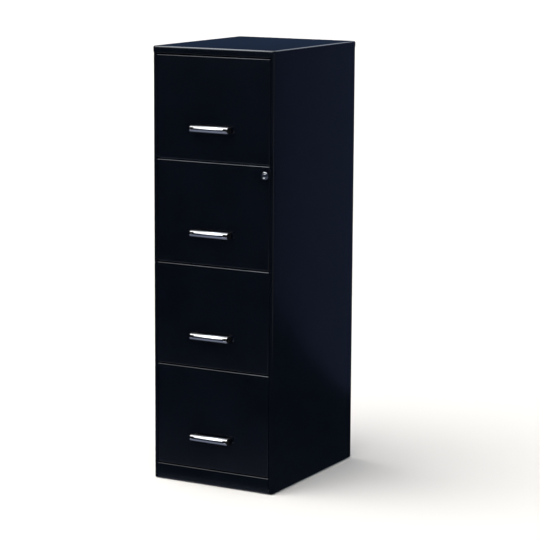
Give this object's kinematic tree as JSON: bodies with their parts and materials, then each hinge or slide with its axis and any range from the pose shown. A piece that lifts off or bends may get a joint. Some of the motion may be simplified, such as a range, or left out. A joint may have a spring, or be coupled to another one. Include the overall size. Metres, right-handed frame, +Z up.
{
  "type": "four-drawer vertical filing cabinet",
  "caption": "Vertical steel filing cabinet with full-width drawers on telescoping slides, bow pulls and a cam lock that holds the upper drawers.",
  "frame": {"origin": "bottom centre of the whole cabinet's box, on the floor, with the pulls included in its depth", "axes": "+Z up; the drawer fronts face -Y; +X is to the right of someone who faces the fronts"},
  "size_m": [0.363, 0.4796, 1.16],
  "materials": {
    "black_enamel": "fine-textured satin black powder coat with a faint blue cast",
    "inner_enamel": "thin satin black enamel inside the drawers",
    "zinc_steel": "bright zinc plate",
    "bright_chrome": "polished chrome plate",
    "black_moulding": "matt black moulded plastic"
  },
  "bodies": {
    "case": {"side_panel_left": "black_enamel", "side_panel_right": "black_enamel", "rear_post_left": "zinc_steel", "rear_post_right": "zinc_steel", "back_panel": "black_enamel", "top_cap": "black_enamel", "header_rail": "black_enamel", "cross_rail_1": "zinc_steel", "cross_rail_2": "zinc_steel", "cross_rail_3": "zinc_steel", "kick_panel": "black_enamel", "base_pan": "black_enamel", "foot_front_left": "black_moulding", "foot_front_right": "black_moulding", "foot_rear_left": "black_moulding", "foot_rear_right": "black_moulding", "case_slide_1_left": "zinc_steel", "case_slide_1_right": "zinc_steel", "case_slide_2_left": "zinc_steel", "case_slide_2_right": "zinc_steel", "case_slide_3_left": "zinc_steel", "case_slide_3_right": "zinc_steel", "case_slide_4_left": "zinc_steel", "case_slide_4_right": "zinc_steel"},
    "drawer_1": {"drawer_1_front": "black_enamel", "drawer_1_tray": "inner_enamel", "drawer_1_slide_left": "zinc_steel", "drawer_1_slide_right": "zinc_steel", "drawer_1_handle": "bright_chrome", "drawer_1_handle_post_left": "black_moulding", "drawer_1_handle_post_right": "black_moulding"},
    "drawer_2": {"drawer_2_front": "black_enamel", "drawer_2_tray": "inner_enamel", "drawer_2_slide_left": "zinc_steel", "drawer_2_slide_right": "zinc_steel", "drawer_2_handle": "bright_chrome", "drawer_2_handle_post_left": "black_moulding", "drawer_2_handle_post_right": "black_moulding", "lock_housing": "bright_chrome", "lock_nut": "zinc_steel"},
    "drawer_3": {"drawer_3_front": "black_enamel", "drawer_3_tray": "inner_enamel", "drawer_3_slide_left": "zinc_steel", "drawer_3_slide_right": "zinc_steel", "drawer_3_handle": "bright_chrome", "drawer_3_handle_post_left": "black_moulding", "drawer_3_handle_post_right": "black_moulding"},
    "drawer_4": {"drawer_4_front": "black_enamel", "drawer_4_tray": "inner_enamel", "drawer_4_slide_left": "zinc_steel", "drawer_4_slide_right": "zinc_steel", "drawer_4_handle": "bright_chrome", "drawer_4_handle_post_left": "black_moulding", "drawer_4_handle_post_right": "black_moulding"},
    "lock": {"lock_plug": "bright_chrome", "lock_cam": "zinc_steel", "lock_cam_nut": "zinc_steel"}
  },
  "joints": [
    {"name": "drawer_1_slide", "type": "slide", "parent": "case", "child": "drawer_1", "axis": [0, -1, 0], "range_m": [0, 0.305]},
    {"name": "drawer_2_slide", "type": "slide", "parent": "case", "child": "drawer_2", "axis": [0, -1, 0], "range_m": [0, 0.305]},
    {"name": "drawer_3_slide", "type": "slide", "parent": "case", "child": "drawer_3", "axis": [0, -1, 0], "range_m": [0, 0.305]},
    {"name": "drawer_4_slide", "type": "slide", "parent": "case", "child": "drawer_4", "axis": [0, -1, 0], "range_m": [0, 0.305]},
    {"name": "lock_turn", "type": "hinge", "parent": "drawer_2", "child": "lock", "pos_m": [0.1553, -0.2159, 0.84025], "axis": [0, 1, 0], "range_deg": [0, 90]}
  ]
}
